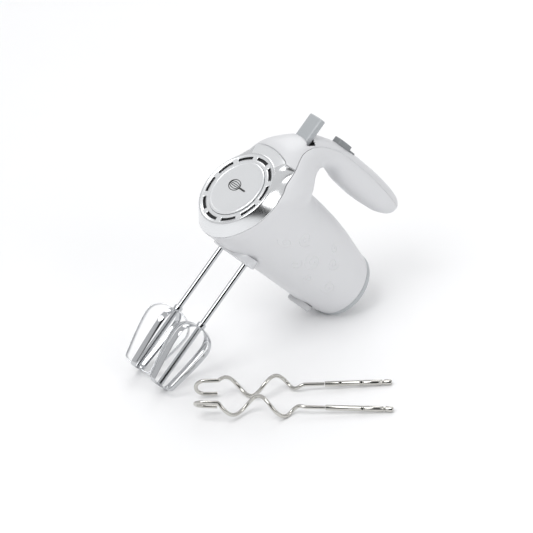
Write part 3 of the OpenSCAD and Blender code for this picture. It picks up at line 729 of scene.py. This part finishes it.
def strip(turn, lift):
    """A flat wire bent to a beater's loop: a rounded oblong carried along just inside the outline.

    lift raises the middle of the foot, so that one loop crosses over the other.
    """
    half = beater_outline()
    half[:, 1] += lift * smooth((-half[:, 1] - 139) / 5)
    path = np.concatenate([half, [(0, FOOT_U + lift)], half[::-1] * (-1, 1)])
    ahead = np.gradient(path, axis=0)
    ahead /= np.linalg.norm(ahead, axis=1)[:, None]
    normal = np.stack([ahead[:, 1], -ahead[:, 0]], -1)
    oblong = np.array([(2.55, 0.55), (2.85, 0.42), (3, 0.15), (3, -0.15), (2.85, -0.42), (2.55, -0.55),
                       (0, -0.55)])
    oblong = np.concatenate([oblong, -oblong])
    flat = path[:, None] + normal[:, None] * (oblong[None, :, 1:2] + STRIP_T / 2)
    width = np.broadcast_to(oblong[None, :, 0], flat.shape[:2])
    c, s = np.cos(turn), np.sin(turn)
    return np.stack([flat[..., 0] * c - width * s, flat[..., 0] * s + width * c, flat[..., 1]], -1)


def make_beaters(sizes):
    """The two wire beaters: a round shaft with its collar, and two crossed loops of flat wire each."""
    rod = [(0, -143.3), (2.75, -143.3), (2.75, -78), (3, -77.4), (3.9, -77), (4.3, -76.4), (4.4, -75),
           (4.4, -73), (4.2, -71.8), (3.4, -71.2), (2.75, -70.8), (2.75, 49), (2, 49.7), (0, 49.7)]
    left = np.radians(sizes.beater_turn)
    for name, side, turn in (("left", 1, left), ("right", -1, np.pi / 4 - left)):
        centre = np.array([0, side * SPINDLE_Y, 0])
        shaft = body_sheet(lathe(rod, centre, (0, 0, 1), 48), wrap_columns=True)
        build(f"{name}_beater_rod", [shaft], f"{name}_beater", [finishes()["chrome"]],
              [f"{name}_beater_shaft"])
        loops = [body_sheet(strip(turn + quarter * np.pi / 2, quarter * 1.15) + centre, wrap_columns=True)
                 for quarter in (0, 1)]
        build(f"{name}_beater_loops", loops, f"{name}_beater", [finishes()["chrome"]],
              [f"{name}_beater_wires"])


def hook_path(hand, first, radius):
    """A dough hook's wire from its shank: straight, a widening spiral, straight and a half turn back."""
    s = np.linspace(0, 100, 260)
    reach = radius * smooth((s - 18) / 19)
    angle = first + hand * np.clip(s - 18, 0, None) / SPIRAL_PITCH * TURN
    spiral = np.stack([-s, reach * np.cos(angle), reach * np.sin(angle)], -1)
    c, s = np.cos(angle[-1]), np.sin(angle[-1])
    t = np.linspace(0, np.pi, 40)
    back = np.stack([-113 - radius * np.sin(t), radius * np.cos(t) * c, radius * np.cos(t) * s], -1)
    far = [(-106, -radius * c, -radius * s), (-102, -radius * c, -radius * s)]
    return np.concatenate([spiral, [(-107, radius * c, radius * s)], back, far])


def make_hooks():
    """The two dough hooks on the floor: a bent wire, a turned shank with a snap groove, and drive ears."""
    shank = [(0, 0.3), (2.2, 0.3), (2.6, 0.8), (2.6, 37.8), (2.75, 38), (2.75, 54.4), (2.6, 54.6),
             (2.05, 54.8), (2.05, 56.6), (2.6, 56.8), (2.75, 57), (2.75, 63), (1.9, 64), (0, 64)]
    # Offset from ORIGIN along and across the floor and height, in mm; heading and tilt in degrees; hand;
    # turn of the ears in degrees, the ears' places along the shank, and the spiral's first angle
    laid = {"first": (-14, 120.7, 6.55, 147, 3.45, 1, 50, (15, 35), 210),
            "second": (9.1, 156.7, 7.87, 143, 4.6, -1, 60, (35,), 30)}
    for name, (along, across, high, heading, tilt, hand, ear_turn, ears, first) in laid.items():
        h, t = np.radians(heading), np.radians(tilt)
        axes = np.array([[np.cos(t) * np.cos(h), np.cos(t) * np.sin(h), -np.sin(t)],
                         [-np.sin(h), np.cos(h), 0],
                         [np.sin(t) * np.cos(h), np.sin(t) * np.sin(h), np.cos(t)]])
        start = np.array([ORIGIN[0] / MM + along, ORIGIN[1] / MM + across, high])

        def lay(grid):
            return (start + grid @ axes) * MM, False, True, 0, None

        wire = tube(hook_path(hand, np.radians(first), SPIRAL_R), WIRE_R, 16)
        build(f"{name}_hook_bend", [lay(wire)], f"{name}_hook", [finishes()["wire"]],
              [f"{name}_hook_wire"])
        a = np.radians(ear_turn)
        pins = []
        for x in ears:
            k = np.linspace(-1, 1, 13)
            path = np.stack([x + 0 * k, -4.5 * k * np.sin(a), 4.5 * k * np.cos(a)], -1)
            pins.append(lay(tube(path, 2 * np.clip(1 - k**6 * 0.45, 0, 1), 20)))
        stem = lay(lathe(shank, (0, 0, 0), (1, 0, 0), 40))
        build(f"{name}_hook_stem", [stem, *pins], f"{name}_hook", [finishes()["wire"]],
              [f"{name}_hook_shank"])


# The CAD nodes that have each inner finish
INNER = {
    "cast": ["gear_frame", "motor_bracket"],
    "bronze": ["spindle_bushes", "shaft_bushes", "brush_holders"],
    "laminations": ["stator", "armature_core"],
    "copper": ["field_coils", "commutator"],
    "carbon": ["carbon_brushes"],
    "steel": ["frame_bolts", "case_screws", "motor_shaft", "left_spindle", "right_spindle",
              "ejector_spring", "turbo_spring", "left_ejector_pin", "right_ejector_pin"],
    "nylon": ["cooling_fan", "left_worm_wheel", "right_worm_wheel", "ejector_yoke"],
    "black": ["speed_switch", "turbo_switch"],
}


def make_inner():
    """Finishes for the gears, motor and switches inside, which stay as the CAD has them."""
    for name, nodes in INNER.items():
        paint(nodes, name)


def make_stage(sizes):
    """The pale floor, the soft lights and the camera."""
    scene = bpy.context.scene
    target = Vector(ORIGIN + (AIM_RIGHT * SIGHT[0] + AIM_UP * SIGHT[1]) * MM)
    side = np.linspace(-4, 4, 41)
    x, y = np.meshgrid(side, side)
    mesh = bpy.data.meshes.new("floor")
    # Turned over, so that the floor faces up
    quads = cells(*x.shape)[..., ::-1]
    mesh.from_pydata(np.stack([x, y, 0 * x + CAD_BOX[0][2]], -1).reshape(-1, 3), [], quads.reshape(-1, 4))
    mesh.materials.append(finish(
        "Pale floor", (0.93, 0.93, 0.935), (0.92, 0.92, 0.925), rough=0.7, scale=60, depth=0.02))
    floor = bpy.data.objects.new("floor", mesh)
    scene.collection.objects.link(floor)

    def lamp(name, place, size, power):
        data = bpy.data.lights.new(name, "AREA")
        data.shape, data.size, data.energy = "DISK", size, power
        made = bpy.data.objects.new(name, data)
        made.location = target + Vector((np.array(place) @ SIGHT))
        made.rotation_euler = (made.location - target).to_track_quat("Z", "Y").to_euler()
        scene.collection.objects.link(made)

    for name, place, size, power in LAMPS:
        lamp(name, place, size, power * sizes.light)
    world = bpy.data.worlds.new("Studio")
    world.use_nodes = True
    tree = world.node_tree
    tree.nodes.clear()
    place = node(tree, "ShaderNodeTexCoord")
    near = node(tree, "ShaderNodeVectorMath", operation="DOT_PRODUCT", in_1=(DARK_TOWARDS @ SIGHT).tolist())
    dark = node(tree, "ShaderNodeMapRange", interpolation_type="SMOOTHSTEP", in_1=0.7, in_2=0.84, in_3=0.72,
                in_4=0.01)
    path = node(tree, "ShaderNodeLightPath")
    level = node(tree, "ShaderNodeMix", data_type="FLOAT", in_2=SKY_LIGHT)
    back = node(tree, "ShaderNodeBackground", in_Color=(0.985, 0.99, 1, 1))
    out = node(tree, "ShaderNodeOutputWorld")
    for source, target_socket in (
            (place.outputs["Generated"], near.inputs[0]), (near.outputs["Value"], dark.inputs[0]),
            (path.outputs["Is Glossy Ray"], level.inputs[0]), (dark.outputs[0], level.inputs[3]),
            (level.outputs[0], back.inputs["Strength"]), (back.outputs[0], out.inputs[0])):
        tree.links.new(source, target_socket)
    scene.world = world
    scene.view_settings.view_transform = "Standard"

    lens = bpy.data.cameras.new("Camera")
    lens.sensor_width, lens.clip_end = 36, 50
    lens.lens = lens.sensor_width * DISTANCE / sizes.picture_width
    camera = bpy.data.objects.new("Camera", lens)
    axes = Matrix([Vector(row).normalized() for row in SIGHT]).transposed()
    place = target + Vector(SIGHT[2]).normalized() * DISTANCE
    camera.matrix_world = Matrix.Translation(place) @ axes.to_4x4()
    scene.collection.objects.link(camera)
    scene.camera = camera


# ---------- add-on ----------
def size(name, text, default, unit="LENGTH", **limits):
    """A number shown in the panel."""
    return bpy.props.FloatProperty(
        name=name, description=text, default=default, subtype="DISTANCE" if unit == "LENGTH" else "NONE",
        unit=unit, precision=4, **limits)


def tint(name, text, default):
    """A colour shown in the panel."""
    return bpy.props.FloatVectorProperty(
        name=name, description=text, default=default, subtype="COLOR", size=3, min=0, max=1)


class MixerSizes(bpy.types.PropertyGroup):
    """Sizes that the pieces are built from."""
    wall: size("Wall", "Thickness of the casing's skins", 0.0016, min=0.0005)
    seam_gap: size("Seam gap", "Width of the line between two skins", 0.0006, min=0.0001)
    relief: size("Relief", "Height of the raised scrolls", 0.0004, min=0.0)
    beater_turn: size("Beater turn", "Turn of the left beater's loops about its shaft, degrees", 13.0,
                      unit="NONE")
    picture_width: size("View width", "Width that the camera takes in", 0.5117, min=0.1)
    light: size("Light", "Brightness of the lamps", 1.0, unit="NONE", min=0.0)


class MixerColours(bpy.types.PropertyGroup):
    """Colours that the finishes are mixed from."""
    shell: tint("Shell", "The white casing", (0.70, 0.705, 0.72))
    grey: tint("Grey", "Lever, button and end cap", (0.41, 0.43, 0.445))
    metal: tint("Metal", "Silver front", (0.8, 0.81, 0.82))


class MIXER_OT_casing(bpy.types.Operator):
    """Builds the white casing, its pale top shell and the raised scrolls"""
    bl_idname = "mixer.casing"
    bl_label = "Casing"

    def execute(self, context):
        make_casing(context.scene.mixer_sizes)
        return {"FINISHED"}


class MIXER_OT_front(bpy.types.Operator):
    """Builds the silver front, the badge disc and its pictogram"""
    bl_idname = "mixer.front"
    bl_label = "Front and badge"

    def execute(self, context):
        make_front(context.scene.mixer_sizes)
        return {"FINISHED"}


class MIXER_OT_rear(bpy.types.Operator):
    """Builds the grey end cap"""
    bl_idname = "mixer.rear"
    bl_label = "End cap"

    def execute(self, context):
        make_rear()
        return {"FINISHED"}


class MIXER_OT_controls(bpy.types.Operator):
    """Builds the speed lever and the turbo button"""
    bl_idname = "mixer.controls"
    bl_label = "Lever and button"

    def execute(self, context):
        make_controls()
        return {"FINISHED"}


class MIXER_OT_underside(bpy.types.Operator):
    """Builds the plate round the beater sockets and the rest foot"""
    bl_idname = "mixer.underside"
    bl_label = "Socket plate and foot"

    def execute(self, context):
        make_underside()
        return {"FINISHED"}


class MIXER_OT_beaters(bpy.types.Operator):
    """Builds the two wire beaters"""
    bl_idname = "mixer.beaters"
    bl_label = "Beaters"

    def execute(self, context):
        make_beaters(context.scene.mixer_sizes)
        return {"FINISHED"}


class MIXER_OT_hooks(bpy.types.Operator):
    """Builds the two dough hooks on the floor"""
    bl_idname = "mixer.hooks"
    bl_label = "Dough hooks"

    def execute(self, context):
        make_hooks()
        return {"FINISHED"}


class MIXER_OT_inner(bpy.types.Operator):
    """Gives the inner CAD nodes their finishes"""
    bl_idname = "mixer.inner"
    bl_label = "Inner finishes"

    def execute(self, context):
        make_inner()
        return {"FINISHED"}


class MIXER_OT_stage(bpy.types.Operator):
    """Makes the floor, the lights and the camera"""
    bl_idname = "mixer.stage"
    bl_label = "Stage"

    def execute(self, context):
        make_stage(context.scene.mixer_sizes)
        return {"FINISHED"}


STEPS = [MIXER_OT_casing, MIXER_OT_front, MIXER_OT_rear,
         MIXER_OT_controls, MIXER_OT_underside, MIXER_OT_beaters,
         MIXER_OT_hooks, MIXER_OT_inner, MIXER_OT_stage]


class MIXER_PT_panel(bpy.types.Panel):
    """Sizes, colours and building steps of the mixer."""
    bl_label = "Hand mixer"
    bl_space_type = "VIEW_3D"
    bl_region_type = "UI"
    bl_category = "Mixer"

    def draw(self, context):
        for values in (context.scene.mixer_sizes, context.scene.mixer_colours):
            for key in values.bl_rna.properties.keys():
                if key not in ("rna_type", "name"):
                    self.layout.prop(values, key)
        for step in STEPS:
            self.layout.operator(step.bl_idname)


CLASSES = [MixerSizes, MixerColours, *STEPS, MIXER_PT_panel]


def register():
    for cls in CLASSES:
        bpy.utils.register_class(cls)
    bpy.types.Scene.mixer_sizes = bpy.props.PointerProperty(type=MixerSizes)
    bpy.types.Scene.mixer_colours = bpy.props.PointerProperty(type=MixerColours)


def unregister():
    del bpy.types.Scene.mixer_sizes, bpy.types.Scene.mixer_colours
    for cls in reversed(CLASSES):
        bpy.utils.unregister_class(cls)


def main():
    """Builds everything in order."""
    register()
    bpy.ops.mixer.casing()
    bpy.ops.mixer.front()
    bpy.ops.mixer.rear()
    bpy.ops.mixer.controls()
    bpy.ops.mixer.underside()
    bpy.ops.mixer.beaters()
    bpy.ops.mixer.hooks()
    bpy.ops.mixer.inner()
    bpy.ops.mixer.stage()


if __name__ == "__main__":
    main()
